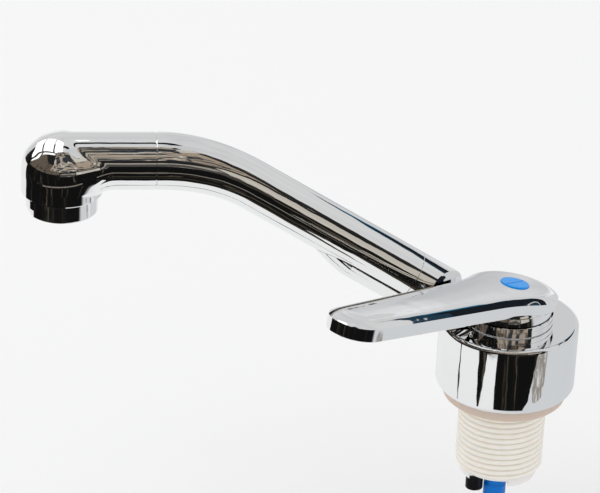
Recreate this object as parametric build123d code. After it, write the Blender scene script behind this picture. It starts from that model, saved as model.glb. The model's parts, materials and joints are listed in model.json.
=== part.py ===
from build123d import *
import math
import os

# Deck-mounted single-lever galley tap with a swivelling spout and a built-in pump switch.
# Origin: centre of the flange underside, on the deck. +Z up, the spout points along -Y.

# Base, flange and threaded shank
flange_radius = 23.2
flange_height = 4.5
platform_height = 4.0
thread_radius = 16.6
thread_pitch = 2.309
thread_depth = 1.1
thread_relief = 1.5
thread_flank = 0.25 * thread_pitch
thread_land = 0.15 * thread_pitch
pilot_length = 3.0
shank_length = 30.3
shank_bore = 13.0

# Body shell
body_radius = 26.3
body_top = 31.8
body_wall = 3.5
body_roof = 3.0
top_edge_radius = 1.4
foot_edge_radius = 2.4

# Fits and gaps
press_gap = 0.05
running_gap = 0.08
free_gap = 0.3

# Valve column and its foot
column_radius = 12.6
column_bore = 9.6
column_top = 38.0
column_foot_radius = 21.0
column_foot_height = 3.0
column_floor = 2.5
column_screw_circle = 18.0
column_screw_radius = 1.5
column_screw_length = 8.0
column_screw_head = 2.2
column_screw_head_radius = 2.7
blind_gap = 0.5
hex_socket = 1.3
socket_radius = 6.5
socket_depth = 8.0
channel_radius = 0.75
channel_count = 5
channel_step = 14.0
channel_margin = 0.25
port_hole_radius = 0.5
port_hole_length = 3.0

# Seals round the column
column_ring_section = 0.55
seal_offset = 1.2

# Spout collar, glide washer and retaining ring
washer_thickness = 0.4
collar_radius = 16.4
collar_height = 3.8
collar_groove = 0.35
collar_groove_height = 1.9
collar_groove_width = 0.3
retainer_thickness = 0.8
retainer_radius = 13.9
retainer_bite = 0.8
retainer_gap = 0.2
retainer_split = 3.2
stop_pin_radius = 0.8
stop_pin_circle = 14.6
stop_pin_height = 1.1
stop_pin_gap = 0.2
swivel_range = 150.0

# Lever, its pivot and its dome
pivot_drop = 5.0
lever_azimuth = 41.5
lever_tilt = 12.5
lever_reach = 100.5
head_radius = 17.0
head_shift = 1.2
arm_root_half = 14.0
arm_blend = 68.0
arm_tip_half = 10.6
tip_corner = 10.2
rim_height = 11.2
lever_crown = 2.0
head_band = 4.2
arm_band = 5.0
lever_wall = 2.0
roof_height = 10.0
lever_edge = 2.4
cavity_radius = 16.6
dome_radius = 16.0
dome_slope = 6.2
dome_rise = 7.8
dome_lip = 1.0
dome_bowl = 11.9
dome_groove_height = 6.3
dome_groove = 0.35
dome_mouth = 5.6

# Cartridge inside the column
stem_radius = 2.2
stem_drop = 8.8
stem_slack = 0.15
pin_radius = 1.25
guide_radius = 7.4
guide_flange_radius = 11.2
guide_flange = 0.9
guide_slot = 10.8
disc_thickness = 2.6
carrier_thickness = 3.1
carrier_radius = 6.0
moving_disc_radius = 4.5
disc_chamber = 8.3
cartridge_floor = 2.3
cartridge_shoulder = 32.0
face_seal_section = 0.45
face_seal_margin = 0.6
nut_depth = 1.6
nut_slot_depth = 1.2
nut_slot_width = 1.6
port_radius = 1.9
inlet_port_radius = 1.5
inlet_port_shift = 2.6
outlet_port_radius = 0.8
outlet_port_circle = 7.1
outlet_port_step = 30.0
gallery_width = 2.2
gallery_depth = 1.2
screw_shank_radius = 1.4
screw_depth = 6.0
cap_radius = 5.5
cap_thickness = 1.0
cap_crown = 0.5
cap_edge = 0.4
cap_line_width = 0.4
cap_line_depth = 0.25

# Pump switch beside the column
switch_depth = 5.6
switch_width = 14.0
switch_height = 13.0
switch_gap = 0.6
follower_radius = 0.9
follower_bite = 2.5
terminal_width = 2.4
terminal_length = 2.0
terminal_thickness = 0.6
terminal_pitch = 4.5
terminal_height = 3.0
switch_screw_radius = 0.9
switch_screw_pitch = 8.0
switch_screw_head_radius = 1.7
switch_screw_head = 1.4

# Spout
spout_level = 97.9
root_slope = 31.5
line_distance = 82.9
line_height = 78.4
bend_radius = 68.0
bend_sections = 9
tube_root_radius = 9.3
tube_end_radius = 10.6
tube_bore = 6.0
neck_seam = 38.5
tube_straight = 0.6
spigot_radius = 7.4
spigot_length = 8.0
tube_ring_section = 0.65
keel_depth = 3.8
keel_radius = 7.4
keel_start = 74.0
keel_full = 58.0
keel_root = 10.0
keel_middle_shift = 0.72
keel_middle_scale = 0.93
keel_tip_shift = 0.3
keel_tip_scale = 0.8
neck_clearance = 18.4
neck_end = 25.5
neck_bridge_top = 35.7
waterway_offset = 3.0
waterway_radius = 1.65
waterway_entry = 1.6
waterway_start = 2.0
stop_flat_gap = 0.9

# Outlet head and aerator
head_run = 33.8
outlet_radius = 14.9
outlet_skirt = 7.9
outlet_bore = 11.0
aerator_radius = 13.2
aerator_height = 6.9
aerator_thread_radius = 10.9
aerator_thread_height = 5.0
aerator_wall = 1.6
aerator_flat_depth = 1.0
aerator_flat_height = 3.0
aerator_flat_turn = 15.0
aerator_edge = 0.8
screen_thickness = 0.6
core_height = 6.0
core_hole = 0.9
core_pitch = 2.6
core_hole_reach = 6.6
screen_hole = 0.7
screen_hole_circle = 4.6
screen_hole_count = 12
screen_rim = 1.2
aerator_lip = 1.5
washer_section = 1.2
washer_width = 2.7

# Parts that leave through the shank
insert_radius = 14.5
insert_flange = 3.2
insert_spigot = 6.0
insert_boss_radius = 3.6
insert_boss_drop = 5.2
insert_boss_offset = 5.9
insert_notch_depth = 6.0
insert_notch_back = 12.0
insert_notch_front = 2.0
insert_notch_skin = 0.8
insert_blind_radius = 1.3
insert_blind_depth = 3.5
tail_offset = 0.65
tail_radius = 3.75
tail_shoulder_radius = 4.3
tail_shoulder_drop = 6.1
tail_shoulder_height = 7.0
tail_length = 27.0
tail_bore = 2.4
tail_step = 0.5
tail_barb = 0.2
tail_barb_count = 3
tail_barb_pitch = 3.6
tail_barb_length = 2.8
tail_barb_start = 1.0
tail_shoulder_edge = 0.5
tail_ring_section = 0.54
sleeve_radius = 3.35
sleeve_offset = 8.65
sleeve_drop = 8.4
sleeve_rise = 9.0
sleeve_bore = 1.6

# Heights worked out from the sizes above
platform_top = flange_height + platform_height
column_foot_top = platform_top + column_foot_height
cartridge_bottom = column_foot_top + column_floor
body_bore = body_radius - body_wall
collar_bottom = body_top + washer_thickness
collar_top = collar_bottom + collar_height
collar_bore = column_radius + running_gap
port_height = collar_bottom + collar_height / 2
pivot_height = column_top - pivot_drop
dome_bottom = collar_top + free_gap
guide_flange_bottom = column_top + 0.2
guide_flange_top = guide_flange_bottom + guide_flange
disc_floor = cartridge_bottom + cartridge_floor
disc_plane = disc_floor + disc_thickness
carrier_bottom = disc_plane + disc_thickness
carrier_top = carrier_bottom + carrier_thickness
lever_throw = stem_drop * math.sin(math.radians(lever_tilt))
insert_bottom = -shank_length - insert_flange
arm_angle = lever_azimuth - 90.0
crown_height = rim_height + lever_crown
follower_height = carrier_bottom + carrier_thickness / 2
switch_face = column_radius + switch_gap

# Spout line: a straight rise, a bend and the level stretch to the outlet
rise_angle = math.radians(root_slope)
bend_corner = line_distance + (spout_level - line_height) / math.tan(rise_angle)
bend_tangent = bend_radius * math.tan(rise_angle / 2)
bend_start = bend_corner - bend_tangent * math.cos(rise_angle)
bend_end = bend_corner + bend_tangent
bend_height = spout_level - bend_radius
head_seam = bend_end + tube_straight
outlet_distance = head_seam + head_run
dome_height = spout_level + tube_end_radius - outlet_radius
outlet_seam = dome_height - outlet_skirt
spigot_start = neck_seam - spigot_length * math.cos(rise_angle)
beyond = 2 * outlet_distance

# Ports of the valve discs, in plan
inlet_x = -inlet_port_shift * math.cos(math.radians(arm_angle))
inlet_y = -inlet_port_shift * math.sin(math.radians(arm_angle))


def rod(radius, low, high, x=0.0, y=0.0):
    """A vertical cylinder between two heights."""
    return Pos(x, y, (low + high) / 2) * Cylinder(radius, high - low)


def tube(outer, inner, low, high):
    """A vertical tube round the main axis."""
    return rod(outer, low, high) - rod(inner, low - 1, high + 1)


def block(x_low, x_high, y_low, y_high, z_low, z_high):
    """A box between six planes."""
    middle = ((x_low + x_high) / 2, (y_low + y_high) / 2, (z_low + z_high) / 2)
    return Pos(*middle) * Box(x_high - x_low, y_high - y_low, z_high - z_low)


def turned(points):
    """A solid turned round the main axis from a closed outline of (radius, height) points."""
    outline = Polyline(*[(r, 0, z) for r, z in points], close=True)
    return revolve(make_face(outline), Axis.Z, 360)


def seal_ring(radius, section, height, x=0.0, y=0.0):
    """A round-section seal that touches a bore of the given radius from inside."""
    return Pos(x, y, height) * Torus(radius - section, section)


def seal_groove(radius, section, height):
    """The groove that holds such a seal, open at the given radius."""
    return tube(radius + 0.5, radius - 2 * section, height - section - 0.1, height + section + 0.1)


def at_lever(solid):
    """Place a solid drawn along +X round the pivot on the raised lever."""
    raised = solid.rotate(Axis.Y, -lever_tilt)
    return Pos(0, 0, pivot_height) * raised.rotate(Axis.Z, arm_angle)


def along_arm(solid):
    """Turn a solid drawn along +X to the lever's direction, level."""
    return solid.rotate(Axis.Z, arm_angle)


def spout_point(distance):
    """Height and slope of the spout centreline at a distance from the main axis."""
    if distance <= bend_start:
        height = line_height + (distance - line_distance) * math.tan(rise_angle)
        return height, root_slope
    if distance >= bend_end:
        return spout_level, 0.0
    lean = math.asin((bend_end - distance) / bend_radius)
    return bend_height + bend_radius * math.cos(lean), math.degrees(lean)


def tube_radius(distance):
    """Outer radius of the spout, which swells from the neck to the outlet."""
    share = (distance - bend_start) / (bend_end - bend_start)
    return tube_root_radius + (tube_end_radius - tube_root_radius) * share


def spout_plane(distance, sideways=0.0):
    """Plane square to the spout centreline, its normal pointing to the outlet."""
    height, slope = spout_point(distance)
    lean = math.radians(slope)
    normal = (0, -math.cos(lean), math.sin(lean))
    return Plane(origin=(sideways, -distance, height), x_dir=(1, 0, 0), z_dir=normal)


def spout_run(first, last, radius):
    """A straight round bar along the centreline between two distances."""
    return loft([spout_plane(d) * Circle(radius) for d in (first, last)], ruled=True)


def spout_bend(radius_at):
    """The bent stretch, through evenly spaced sections."""
    stations = []
    for k in range(bend_sections):
        lean = rise_angle * (1 - k / (bend_sections - 1))
        stations.append(bend_end - bend_radius * math.sin(lean))
    return loft([spout_plane(d) * Circle(radius_at(d)) for d in stations])


def make_base_shank():
    """Flange, platform for the shell and the threaded shank below the deck."""
    crest = thread_radius
    root = thread_radius - thread_depth
    points = [(shank_bore, -shank_length), (root, -shank_length)]
    turns = int((shank_length - pilot_length - thread_relief) / thread_pitch)
    for k in range(turns):
        z = -shank_length + k * thread_pitch
        points += [(root, z + thread_flank), (crest, z + 2 * thread_flank)]
        points += [(crest, z + 2 * thread_flank + thread_land), (root, z + 3 * thread_flank + thread_land)]
    points += [(root, -pilot_length), (crest, -pilot_length), (crest, 0)]
    points += [(flange_radius, 0), (flange_radius, flange_height)]
    platform = body_bore - press_gap
    points += [(platform, flange_height), (platform, platform_top), (shank_bore, platform_top)]
    base = turned(points)
    for angle in column_screw_angles():
        base -= Pos(0, 0, platform_top) * column_screw_hole(angle)
    return base


def column_screw_angles():
    """Directions of the three screws that hold the column, clear of the switch."""
    return [arm_angle + 60 + 120 * k for k in range(3)]


def column_screw_hole(angle):
    """Blind hole below a column screw."""
    x = column_screw_circle * math.cos(math.radians(angle))
    y = column_screw_circle * math.sin(math.radians(angle))
    depth = column_screw_length - column_foot_height + blind_gap
    return rod(column_screw_radius + press_gap, -depth, 0.5, x, y)


def make_body_shell():
    """Round outer shell with a closed top and a hole for the column."""
    shell = rod(body_radius, flange_height, body_top)
    shell = fillet(shell.edges().sort_by(Axis.Z)[-1], top_edge_radius)
    shell = fillet(shell.edges().sort_by(Axis.Z)[0], foot_edge_radius)
    shell -= rod(body_bore, flange_height - 1, body_top - body_roof)
    shell -= rod(column_radius + press_gap, flange_height, body_top + 1)
    return shell - stop_pin_hole(body_top - body_roof / 2, body_top + 1)


def stop_pin_spot():
    """Place of the pin that limits the swivel, opposite the spout's resting side."""
    return 0.0, stop_pin_circle


def stop_pin_hole(low, high):
    """Hole for the stop pin."""
    x, y = stop_pin_spot()
    return rod(stop_pin_radius + press_gap, low, high, x, y)


def make_stop_pin():
    """Pin in the shell's top that runs in the slot under the spout collar."""
    x, y = stop_pin_spot()
    return rod(stop_pin_radius, body_top - body_roof / 2, collar_bottom + stop_pin_height, x, y)


def make_glide_washer():
    """Thin washer between the shell's top and the spout collar."""
    washer = tube(collar_radius - free_gap, column_radius + free_gap, body_top, collar_bottom)
    return washer - stop_pin_hole(body_top - 1, collar_bottom + 1)


def make_valve_column():
    """Column that carries the spout and holds the cartridge, with its foot and inlet socket."""
    column = rod(column_radius, platform_top, column_top)
    column += rod(column_foot_radius, platform_top, column_foot_top)
    column += rod(socket_radius, platform_top - socket_depth, platform_top, 0, -tail_offset)
    column -= rod(column_bore, cartridge_bottom, column_top + 1)
    column -= inlet_socket()
    column -= rod(port_radius, platform_top - socket_depth, cartridge_bottom + 1, 0, -tail_offset)
    gallery_inner = column_bore - gallery_width
    column -= tube(column_bore, gallery_inner, cartridge_bottom - gallery_depth, cartridge_bottom + 0.5)
    for side in (-1, 1):
        column -= seal_groove(column_radius, column_ring_section, port_height + side * seal_offset)
    column -= retainer_groove()
    for k in range(channel_count):
        column -= outlet_channel(-90 + (k - (channel_count - 1) / 2) * channel_step)
    column -= follower_path(follower_radius + running_gap, 0, column_radius + 2)
    for angle in column_screw_angles():
        x = column_screw_circle * math.cos(math.radians(angle))
        y = column_screw_circle * math.sin(math.radians(angle))
        column -= rod(column_screw_radius + press_gap, 0, column_foot_top + 1, x, y)
    return column


def inlet_socket():
    """Bore in the column's underside that takes the inlet tail."""
    low = platform_top - socket_depth
    return rod(tail_radius + press_gap, low - 1, platform_top + 0.5, 0, -tail_offset)


def retainer_groove():
    """Groove near the column's top for the retaining ring."""
    low = collar_top + retainer_gap
    high = low + retainer_thickness + 2 * press_gap
    return tube(column_radius + 1, column_radius - retainer_bite, low, high)


def outlet_channel(angle):
    """One narrow waterway in the column wall, with its port between the two seals."""
    wall_middle = column_bore + channel_radius + channel_margin
    x = wall_middle * math.cos(math.radians(angle))
    y = wall_middle * math.sin(math.radians(angle))
    riser = rod(channel_radius, cartridge_bottom - gallery_depth, port_height + channel_radius / 2, x, y)
    port = Pos(wall_middle + port_hole_length / 2, 0, port_height) * Rot(0, 90, 0)
    port *= Cylinder(port_hole_radius, port_hole_length)
    return riser + port.rotate(Axis.Z, angle)


def follower_path(radius, start, end):
    """Bar along the lever's direction at the height of the switch follower."""
    bar = Pos((start + end) / 2, 0, follower_height) * Rot(0, 90, 0) * Cylinder(radius, end - start)
    return along_arm(bar)


def make_column_seals():
    """Two seals between the column and the spout collar."""
    low = seal_ring(column_radius, column_ring_section, port_height - seal_offset)
    high = seal_ring(column_radius, column_ring_section, port_height + seal_offset)
    return [low, high]


def make_column_screws():
    """Three cap screws that fasten the column foot to the base."""
    screws = []
    for angle in column_screw_angles():
        x = column_screw_circle * math.cos(math.radians(angle))
        y = column_screw_circle * math.sin(math.radians(angle))
        shank = rod(column_screw_radius, column_foot_top - column_screw_length, column_foot_top, x, y)
        head_top = column_foot_top + column_screw_head
        head = rod(column_screw_head_radius, column_foot_top, head_top, x, y)
        socket = Pos(x, y, head_top) * extrude(RegularPolygon(hex_socket, 6), amount=-hex_socket)
        screws.append(shank + head - socket)
    return screws


def make_retaining_ring():
    """Split ring that keeps the spout collar on the column."""
    low = collar_top + retainer_gap + press_gap
    inner = column_radius - retainer_bite + 2 * press_gap
    half = retainer_split / 2
    ring = tube(retainer_radius, inner, low, low + retainer_thickness)
    gap = block(-half, half, 0, retainer_radius + 1, low - 1, low + retainer_thickness + 1)
    return ring - gap


def make_cartridge_base():
    """Floor of the cartridge with the inlet and outlet ports."""
    floor = rod(column_bore - press_gap, cartridge_bottom, disc_floor)
    middle = (cartridge_bottom + disc_floor) / 2
    floor -= rod(port_radius, cartridge_bottom - 1, middle, 0, -tail_offset)
    floor -= rod(inlet_port_radius, middle - cartridge_floor / 4, disc_floor + 1, inlet_x, inlet_y)
    floor -= outlet_port(cartridge_bottom - 1, disc_floor + 1)
    return floor - cartridge_seal_groove()


def outlet_port(low, high):
    """Outlet port: three holes on an arc behind the inlet port."""
    ports = []
    for k in (-1, 0, 1):
        angle = math.radians(arm_angle + 180 + k * outlet_port_step)
        x = outlet_port_circle * math.cos(angle)
        y = outlet_port_circle * math.sin(angle)
        ports.append(rod(outlet_port_radius, low, high, x, y))
    return ports[0] + ports[1] + ports[2]


def cartridge_seal_groove():
    """Groove for the face seal round the inlet port."""
    outside = port_radius + 2 * (face_seal_margin + face_seal_section)
    height = cartridge_bottom + 2 * face_seal_section
    outer = rod(outside, cartridge_bottom - 0.5, height, 0, -tail_offset)
    inner = rod(port_radius + face_seal_margin / 2, cartridge_bottom - 1, height + 1, 0, -tail_offset)
    return outer - inner


def make_cartridge_seal():
    """Face seal between the cartridge floor and the column."""
    middle = port_radius + face_seal_margin + face_seal_section
    return Pos(0, -tail_offset, cartridge_bottom + face_seal_section) * Torus(middle, face_seal_section)


def make_cartridge_housing():
    """Cartridge shell round the discs and the stem guide."""
    outer = column_bore - press_gap
    housing = tube(outer, disc_chamber, disc_floor, carrier_top + free_gap)
    housing += tube(outer, guide_radius + press_gap, carrier_top + free_gap, cartridge_shoulder)
    return housing - follower_path(follower_radius + running_gap, 0, column_radius + 2)


def make_cartridge_nut():
    """Threaded ring that clamps the cartridge in the column."""
    top = column_top - nut_depth
    half = nut_slot_width / 2
    nut = tube(column_bore - press_gap, guide_radius + running_gap, cartridge_shoulder, top)
    for angle in (0, 90):
        slot = block(-column_bore, column_bore, -half, half, top - nut_slot_depth, column_top)
        nut -= slot.rotate(Axis.Z, angle + arm_angle)
    return nut


def make_stem_guide():
    """Slotted sleeve that carries the lever's pivot pin."""
    guide = rod(guide_radius, carrier_top + free_gap, guide_flange_bottom)
    guide += rod(guide_flange_radius, guide_flange_bottom, guide_flange_top)
    half = stem_radius + stem_slack
    slot = block(-guide_slot / 2, guide_slot / 2, -half, half, carrier_top, guide_flange_top + 1)
    hole = Pos(0, 0, pivot_height) * Rot(90, 0, 0) * Cylinder(pin_radius + press_gap / 2, 4 * guide_radius)
    return along_arm(guide - slot - hole)


def make_pivot_pin():
    """Pin through the guide and the stem."""
    pin = Pos(0, 0, pivot_height) * Rot(90, 0, 0) * Cylinder(pin_radius, 2 * (guide_radius - free_gap))
    return along_arm(pin)


def make_dome_ring():
    """Polished ring under the lever, with a ball-shaped side and a slanted top."""
    ball = Pos(0, 0, pivot_height) * Sphere(dome_radius)
    ring = ball & rod(dome_radius + 1, dome_bottom, pivot_height + dome_radius)
    top = Pos(0, 0, pivot_height + dome_rise + dome_radius) * Box(beyond, beyond, 2 * dome_radius)
    top = Pos(0, 0, pivot_height) * (Pos(0, 0, -pivot_height) * top).rotate(Axis.Y, -dome_slope)
    ring -= top
    ring -= rod(retainer_radius + free_gap, dome_bottom - 1, guide_flange_top)
    ring -= rod(dome_mouth, guide_flange_top - 1, guide_flange_top + dome_lip + 1)
    ring -= rod(dome_bowl, guide_flange_top + dome_lip, pivot_height + dome_radius)
    groove_z = pivot_height + dome_groove_height
    groove_r = math.sqrt(dome_radius ** 2 - dome_groove_height ** 2)
    half = dome_groove / 2
    ring -= tube(dome_radius + 1, groove_r - dome_groove, groove_z - half, groove_z + half)
    return along_arm(ring)


def make_fixed_disc():
    """Lower ceramic disc with its ports."""
    disc = rod(disc_chamber - press_gap, disc_floor, disc_plane)
    disc -= rod(inlet_port_radius, disc_floor - 1, disc_plane + 1, inlet_x, inlet_y)
    return disc - outlet_port(disc_floor - 1, disc_plane + 1)


def make_moving_disc():
    """Upper ceramic disc, which covers the inlet port while the lever is down."""
    return along_arm(rod(moving_disc_radius, disc_plane, carrier_bottom, lever_throw, 0))


def make_disc_carrier():
    """Carrier driven by the lower end of the stem."""
    carrier = Pos(lever_throw, 0, 0) * rod(carrier_radius, carrier_bottom, carrier_top)
    socket = Pos(lever_throw, 0, 0) * rod(stem_radius + stem_slack, carrier_bottom, carrier_top + 1)
    return along_arm(carrier - socket)


def make_stem():
    """Stem with a rounded lower end, held by the pivot pin and screwed to the lever."""
    stem = rod(stem_radius, -stem_drop, roof_height)
    stem += Pos(0, 0, -stem_drop) * Sphere(stem_radius)
    stem -= Rot(90, 0, 0) * Cylinder(pin_radius + running_gap, 4 * stem_radius)
    stem -= rod(screw_shank_radius, roof_height - screw_depth, roof_height + 1)
    return at_lever(stem)


def lever_outline(shrink=0.0):
    """Plan of the lever: a round head flowing into a tapering arm with rounded corners."""
    root = arm_root_half - shrink
    tip = arm_tip_half - shrink
    end = lever_reach - shrink
    arm = make_face(Polyline((0, root), (end, tip), (end, -tip), (0, -root), close=True))
    corners = arm.vertices().group_by(Axis.X)[-1]
    plan = Pos(head_shift, 0) * Circle(head_radius - shrink) + fillet(corners, tip_corner - shrink)
    necks = plan.vertices().group_by(Axis.X)[0]
    return fillet(necks, arm_blend + shrink)


def crowned_bar():
    """Long bar whose top is crowned across the lever and flat along it."""
    radius = (head_radius ** 2 + lever_crown ** 2) / (2 * lever_crown)
    return Pos(0, 0, crown_height - radius) * Rot(0, 90, 0) * Cylinder(radius, 4 * lever_reach)


def make_lever():
    """Lever head over the dome and its arm, hollow below."""
    low = rim_height - arm_band
    lever = Pos(0, 0, low) * extrude(lever_outline(), amount=arm_band + lever_crown)
    lever &= crowned_bar()
    rim = lever.faces().sort_by(Axis.Z)[-1].outer_wire().edges()
    lever = fillet(rim, lever_edge)
    lever -= rod(head_radius + 1.5, low - 1, rim_height - head_band)
    pocket = Pos(0, 0, low - 1) * extrude(lever_outline(lever_wall), amount=arm_band - lever_wall + 1)
    lever -= pocket - rod(head_radius + lever_wall, low - 2, rim_height)
    cavity = Sphere(cavity_radius) & rod(cavity_radius + 1, -cavity_radius, roof_height)
    lever -= cavity
    lever -= rod(cap_radius + press_gap, crown_height - cap_thickness, crown_height + 1, head_shift)
    lever -= rod(screw_shank_radius + running_gap, 0, crown_height + 1)
    return at_lever(lever)


def make_lever_screw():
    """Screw that holds the lever on the stem."""
    shank = rod(screw_shank_radius - press_gap, roof_height - screw_depth + blind_gap, roof_height)
    neck = rod(screw_shank_radius, roof_height, crown_height - cap_thickness)
    return at_lever(shank + neck)


def make_index_cap():
    """Round coloured cap over the lever screw, with a fine line across."""
    crown = crown_height + cap_crown
    half = cap_line_width / 2
    cap = rod(cap_radius, crown_height - cap_thickness, crown)
    cap = fillet(cap.edges().sort_by(Axis.Z)[-1], cap_edge)
    line = block(-cap_radius, cap_radius, -half, half, crown - cap_line_depth, crown + 1)
    return at_lever(Pos(head_shift, 0, 0) * (cap - line))


def switch_centre():
    """Distance of the switch case's middle from the main axis."""
    return switch_face + switch_depth / 2


def make_switch_case():
    """Pump switch standing on the column foot, facing the cartridge."""
    half = switch_width / 2
    top = column_foot_top + switch_height
    case = block(switch_face, switch_face + switch_depth, -half, half, column_foot_top, top)
    case = along_arm(case)
    case -= follower_path(follower_radius + running_gap, 0, switch_face + follower_bite + 2 * press_gap)
    for side in (-1, 1):
        case -= switch_screw_bar(side, switch_screw_radius + press_gap, 1.0)
    return case


def switch_screw_bar(side, radius, extra):
    """Upright bar at one of the two screws that hold the switch to the foot."""
    x = switch_centre()
    y = side * switch_screw_pitch / 2
    top = column_foot_top + switch_height
    return along_arm(rod(radius, column_foot_top - extra, top + extra, x, y))


def make_switch_screws():
    """Two long screws that clamp the switch on the column foot."""
    screws = []
    top = column_foot_top + switch_height
    for side in (-1, 1):
        y = side * switch_screw_pitch / 2
        head = along_arm(rod(switch_screw_head_radius, top, top + switch_screw_head, switch_centre(), y))
        screws.append(switch_screw_bar(side, switch_screw_radius, 0) + head)
    return screws


def make_switch_follower():
    """Pin that the disc carrier pushes outwards to close the switch."""
    start = carrier_radius + lever_throw + press_gap
    return follower_path(follower_radius, start, switch_face + follower_bite)


def make_switch_terminals():
    """Three flat blades under the switch's outer side."""
    blades = []
    outer = switch_face + switch_depth
    for k in (-1, 0, 1):
        z = column_foot_top + terminal_height
        y = terminal_pitch * k
        half = terminal_width / 2
        blade = block(outer, outer + terminal_length, y - half, y + half, z, z + terminal_thickness)
        blades.append(along_arm(blade))
    return blades


def lever_stop_space():
    """Space beside the spout neck that the lever's edge needs over its whole travel."""
    low = Pos(0, 0, neck_bridge_top)
    return along_arm(low * extrude(lever_outline(-stop_flat_gap), amount=beyond))


def keel():
    """Rounded fairing under the root of the spout, fading into the tube at its outer end."""
    shift = tube_root_radius + keel_depth - keel_radius
    inner = spout_plane(keel_root)
    full = spout_plane(keel_full)
    fading = spout_plane((keel_full + keel_start) / 2)
    tip = spout_plane(keel_start)
    straight = loft([keel_section(inner, shift, 1.0), keel_section(full, shift, 1.0)], ruled=True)
    nose = loft([keel_section(full, shift, 1.0),
                 keel_section(fading, keel_middle_shift * shift, keel_middle_scale),
                 keel_section(tip, keel_tip_shift * shift, keel_tip_scale)])
    return straight + nose


def keel_section(plane, shift, scale):
    """Round section of the fairing, set below the spout's centreline."""
    below = -1 if plane.y_dir.Z > 0 else 1
    centre = plane.origin + plane.y_dir * (below * shift)
    return Plane(origin=centre, x_dir=plane.x_dir, z_dir=plane.z_dir) * Circle(scale * keel_radius)


def make_spout_neck():
    """Collar that turns on the column, the neck rising from it and the fairing below."""
    collar = tube(collar_radius, collar_bore, collar_bottom, collar_top)
    groove_low = collar_bottom + collar_groove_height
    groove_high = groove_low + collar_groove_width
    collar -= tube(collar_radius + 1, collar_radius - collar_groove, groove_low, groove_high)
    bar = spout_run(neck_end, neck_seam, tube_root_radius)
    bar += Pos(spout_plane(neck_end).origin) * Sphere(tube_root_radius)
    above = block(-beyond, beyond, -beyond, beyond, collar_bottom + free_gap, beyond)
    neck = (bar + keel()) & above
    neck -= rod(neck_clearance, neck_bridge_top, beyond)
    neck -= lever_stop_space()
    neck -= rod(collar_bore + 1, 0, beyond)
    seat = spout_run(neck_seam, keel_start + 4, tube_root_radius + press_gap)
    neck -= seat
    body = collar + neck
    body -= spout_run(spigot_start, neck_seam + 1, spigot_radius + press_gap)
    body -= waterway()
    low, high = port_height - port_hole_radius, port_height + port_hole_radius
    body -= tube(collar_bore + 0.7, collar_bore - 1, low, high)
    return body - stop_slot()


def waterway():
    """Passage from the collar's inner groove up to the tube, on the side away from the lever."""
    x = -waterway_offset
    start = Vector(x, -collar_bore - waterway_start, port_height)
    end = Vector(x, -spigot_start - 1.0, spout_point(spigot_start)[0] + 0.5)
    run = end - start
    plane = Plane(origin=start, z_dir=run)
    rising = plane * extrude(Circle(waterway_radius), amount=run.length)
    low, high = port_height - port_hole_radius, port_height + port_hole_radius
    inlet_end = -collar_bore - waterway_start - 1.0
    entry = block(x - waterway_entry, x + waterway_entry, inlet_end, -collar_bore + 1, low, high)
    return rising + entry


def stop_slot():
    """Curved slot under the collar that runs over the stop pin."""
    margin = math.degrees((stop_pin_radius + stop_pin_gap) / stop_pin_circle)
    half = stop_pin_radius + stop_pin_gap
    low = collar_bottom - 1
    high = collar_bottom + stop_pin_height + stop_pin_gap
    section = Polyline((stop_pin_circle - half, 0, low), (stop_pin_circle + half, 0, low),
                       (stop_pin_circle + half, 0, high), (stop_pin_circle - half, 0, high), close=True)
    slot = revolve(make_face(section), Axis.Z, swivel_range + 2 * margin)
    return slot.rotate(Axis.Z, 90 - margin)


def make_spout_tube():
    """Bent tube between the neck and the outlet head, with a spigot at each end."""
    low = spigot_start + free_gap
    high = head_seam + spigot_length - free_gap
    body = spout_run(neck_seam, bend_start, tube_root_radius)
    body += spout_bend(tube_radius)
    body += spout_run(bend_end, head_seam, tube_end_radius)
    body += spout_run(low, bend_start, spigot_radius)
    body += spout_run(bend_end, high, spigot_radius)
    body -= spout_run(low - 1, bend_start, tube_bore)
    body -= spout_bend(lambda d: tube_bore)
    body -= spout_run(bend_end, high + 1, tube_bore)
    for spot in tube_seal_spots():
        plane = spout_plane(spot)
        groove = Cylinder(spigot_radius + 1, 2 * tube_ring_section + 0.2)
        groove -= Cylinder(spigot_radius - 2 * tube_ring_section, 2 * tube_ring_section + 2)
        body -= plane.location * groove
    return body


def tube_seal_spots():
    """Distances of the seals on the two spigots."""
    return [(spigot_start + neck_seam) / 2, head_seam + spigot_length / 2]


def make_tube_seal(spot):
    """Seal on one spigot of the spout tube."""
    return spout_plane(spot).location * Torus(spigot_radius - tube_ring_section, tube_ring_section)


def make_outlet_head():
    """Domed outlet head with the socket for the tube and the aerator thread."""
    head = Pos(0, -outlet_distance, dome_height) * Sphere(outlet_radius)
    head += rod(outlet_radius, outlet_seam, dome_height, 0, -outlet_distance)
    head &= rod(outlet_radius + 1, outlet_seam, beyond, 0, -outlet_distance)
    head += spout_run(head_seam, outlet_distance, tube_end_radius)
    head -= spout_run(head_seam - 1, head_seam + spigot_length, spigot_radius + press_gap)
    head -= spout_run(head_seam, outlet_distance, tube_bore)
    chamber_top = outlet_seam + aerator_thread_height + 2 * washer_section
    head -= rod(outlet_bore, outlet_seam - 1, chamber_top, 0, -outlet_distance)
    head -= rod(tube_bore, outlet_seam, spout_level, 0, -outlet_distance)
    return head


def aerator_bottom():
    """Height of the outlet's lower edge."""
    return outlet_seam - free_gap - aerator_height


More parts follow.
